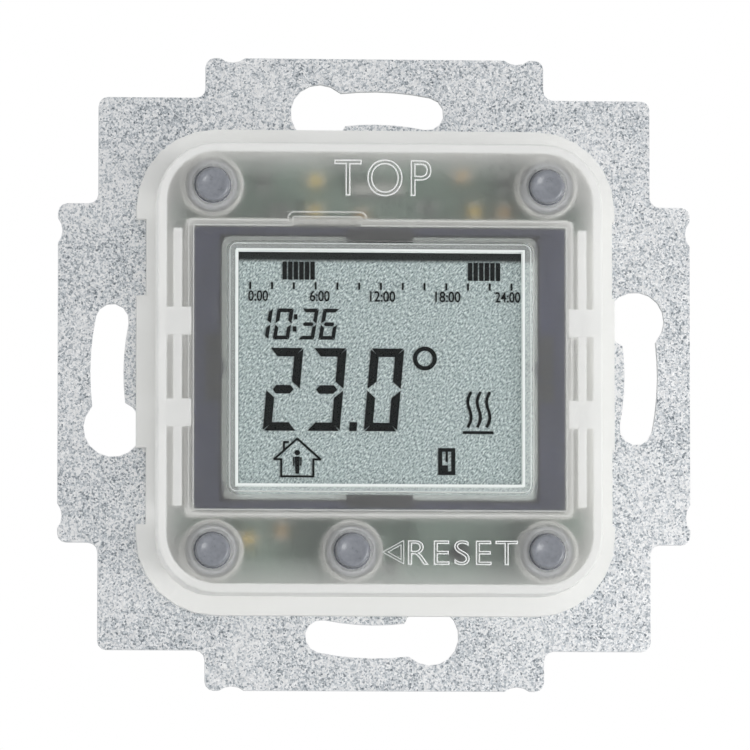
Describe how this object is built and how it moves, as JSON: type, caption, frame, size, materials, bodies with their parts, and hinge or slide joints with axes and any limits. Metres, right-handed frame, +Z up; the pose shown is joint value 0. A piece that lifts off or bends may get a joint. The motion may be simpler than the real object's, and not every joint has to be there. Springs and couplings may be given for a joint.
{
  "type": "wall thermostat",
  "caption": "Flush-mounted room thermostat insert: square steel support frame with keyhole slots, milky front, LCD, push pins and rear terminal housing.",
  "frame": {"origin": "middle of the steel support frame's back face, on the wall plane and on the axis of the wall box", "axes": "+Y into the wall, so the front faces -Y; +Z up; +X to the right as seen from the front"},
  "size_m": [0.071, 0.035, 0.071],
  "materials": {
    "frame_steel": "zinc plated, fine spangle",
    "cover_plastic": "milky translucent, satin",
    "window_acrylic": "clear, polished",
    "lcd_glass": "grey-green reflective LCD",
    "holder_plastic": "dark grey, fine texture",
    "contact_rubber": "striped silicone",
    "circuit_board": "green solder mask",
    "component_black": "moulded black",
    "tin_plate": "bright tin plate",
    "relay_plastic": "moulded, blue",
    "copper_wire": "enamelled copper winding",
    "film_capacitor": "moulded, yellow",
    "varistor_coating": "dipped coating, blue",
    "terminal_plastic": "dark grey, satin",
    "housing_plastic": "light grey, fine texture",
    "pin_plastic": "blue-grey, satin",
    "switch_plastic": "moulded, grey",
    "screw_steel": "zinc plated",
    "clamp_steel": "nickel plated",
    "contact_brass": "plated brass"
  },
  "bodies": {
    "body": {"mounting_frame": "frame_steel", "front_cover": "cover_plastic", "display_window": "window_acrylic", "lcd_panel": "lcd_glass", "lcd_holder": "holder_plastic", "zebra_strip_top": "contact_rubber", "zebra_strip_bottom": "contact_rubber", "control_board": "circuit_board", "power_board": "circuit_board", "microcontroller": "component_black", "watch_crystal": "tin_plate", "backup_capacitor": "tin_plate", "temperature_sensor": "component_black", "board_socket": "component_black", "board_header": "component_black", "relay_base": "component_black", "relay_case": "relay_plastic", "relay_coil": "copper_wire", "relay_yoke": "tin_plate", "relay_contact": "tin_plate", "suppression_capacitor": "film_capacitor", "smoothing_capacitor": "component_black", "varistor": "varistor_coating", "fuse": "component_black", "terminal_block": "terminal_plastic", "rear_housing": "housing_plastic", "switch_body_top_left": "component_black", "switch_body_top_right": "component_black", "switch_body_bottom_left": "component_black", "switch_body_bottom_right": "component_black", "switch_body_reset": "component_black", "contact_bar_1": "contact_brass", "contact_bar_2": "contact_brass", "contact_bar_3": "contact_brass", "contact_bar_4": "contact_brass", "contact_bar_5": "contact_brass"},
    "pin_top_left": {"button_top_left": "pin_plastic", "switch_stem_top_left": "switch_plastic"},
    "pin_top_right": {"button_top_right": "pin_plastic", "switch_stem_top_right": "switch_plastic"},
    "pin_bottom_left": {"button_bottom_left": "pin_plastic", "switch_stem_bottom_left": "switch_plastic"},
    "pin_bottom_right": {"button_bottom_right": "pin_plastic", "switch_stem_bottom_right": "switch_plastic"},
    "pin_reset": {"button_reset": "pin_plastic", "switch_stem_reset": "switch_plastic"},
    "screw_1": {"terminal_screw_1": "screw_steel"},
    "cage_1": {"clamp_cage_1": "clamp_steel"},
    "screw_2": {"terminal_screw_2": "screw_steel"},
    "cage_2": {"clamp_cage_2": "clamp_steel"},
    "screw_3": {"terminal_screw_3": "screw_steel"},
    "cage_3": {"clamp_cage_3": "clamp_steel"},
    "screw_4": {"terminal_screw_4": "screw_steel"},
    "cage_4": {"clamp_cage_4": "clamp_steel"},
    "screw_5": {"terminal_screw_5": "screw_steel"},
    "cage_5": {"clamp_cage_5": "clamp_steel"},
    "armature": {"relay_armature": "tin_plate"}
  },
  "joints": [
    {"name": "press_top_left", "type": "slide", "parent": "body", "child": "pin_top_left", "axis": [0, 1, 0], "range_m": [0, 0.0005], "stiffness_N_per_m": 800, "springref_m": -0.001},
    {"name": "press_top_right", "type": "slide", "parent": "body", "child": "pin_top_right", "axis": [0, 1, 0], "range_m": [0, 0.0005], "stiffness_N_per_m": 800, "springref_m": -0.001},
    {"name": "press_bottom_left", "type": "slide", "parent": "body", "child": "pin_bottom_left", "axis": [0, 1, 0], "range_m": [0, 0.0005], "stiffness_N_per_m": 800, "springref_m": -0.001},
    {"name": "press_bottom_right", "type": "slide", "parent": "body", "child": "pin_bottom_right", "axis": [0, 1, 0], "range_m": [0, 0.0005], "stiffness_N_per_m": 800, "springref_m": -0.001},
    {"name": "press_reset", "type": "slide", "parent": "body", "child": "pin_reset", "axis": [0, 1, 0], "range_m": [0, 0.0005], "stiffness_N_per_m": 800, "springref_m": -0.001},
    {"name": "turn_screw_1", "type": "hinge", "parent": "body", "child": "screw_1", "pos_m": [-0.0127, 0.025, -0.0184], "axis": [0, 1, 0], "range_deg": [0, 1170]},
    {"name": "lift_cage_1", "type": "slide", "parent": "body", "child": "cage_1", "axis": [0, 1, 0], "range_m": [0, 0.0023]},
    {"name": "turn_screw_2", "type": "hinge", "parent": "body", "child": "screw_2", "pos_m": [-0.00635, 0.025, -0.0184], "axis": [0, 1, 0], "range_deg": [0, 1170]},
    {"name": "lift_cage_2", "type": "slide", "parent": "body", "child": "cage_2", "axis": [0, 1, 0], "range_m": [0, 0.0023]},
    {"name": "turn_screw_3", "type": "hinge", "parent": "body", "child": "screw_3", "pos_m": [0, 0.025, -0.0184], "axis": [0, 1, 0], "range_deg": [0, 1170]},
    {"name": "lift_cage_3", "type": "slide", "parent": "body", "child": "cage_3", "axis": [0, 1, 0], "range_m": [0, 0.0023]},
    {"name": "turn_screw_4", "type": "hinge", "parent": "body", "child": "screw_4", "pos_m": [0.00635, 0.025, -0.0184], "axis": [0, 1, 0], "range_deg": [0, 1170]},
    {"name": "lift_cage_4", "type": "slide", "parent": "body", "child": "cage_4", "axis": [0, 1, 0], "range_m": [0, 0.0023]},
    {"name": "turn_screw_5", "type": "hinge", "parent": "body", "child": "screw_5", "pos_m": [0.0127, 0.025, -0.0184], "axis": [0, 1, 0], "range_deg": [0, 1170]},
    {"name": "lift_cage_5", "type": "slide", "parent": "body", "child": "cage_5", "axis": [0, 1, 0], "range_m": [0, 0.0023]},
    {"name": "armature_tilt", "type": "hinge", "parent": "body", "child": "armature", "pos_m": [-0.0184, 0.0191, 0.00025], "axis": [0, 0, -1], "range_deg": [0, 6], "stiffness_Nm_per_rad": 0.02, "springref_deg": -2.86}
  ]
}
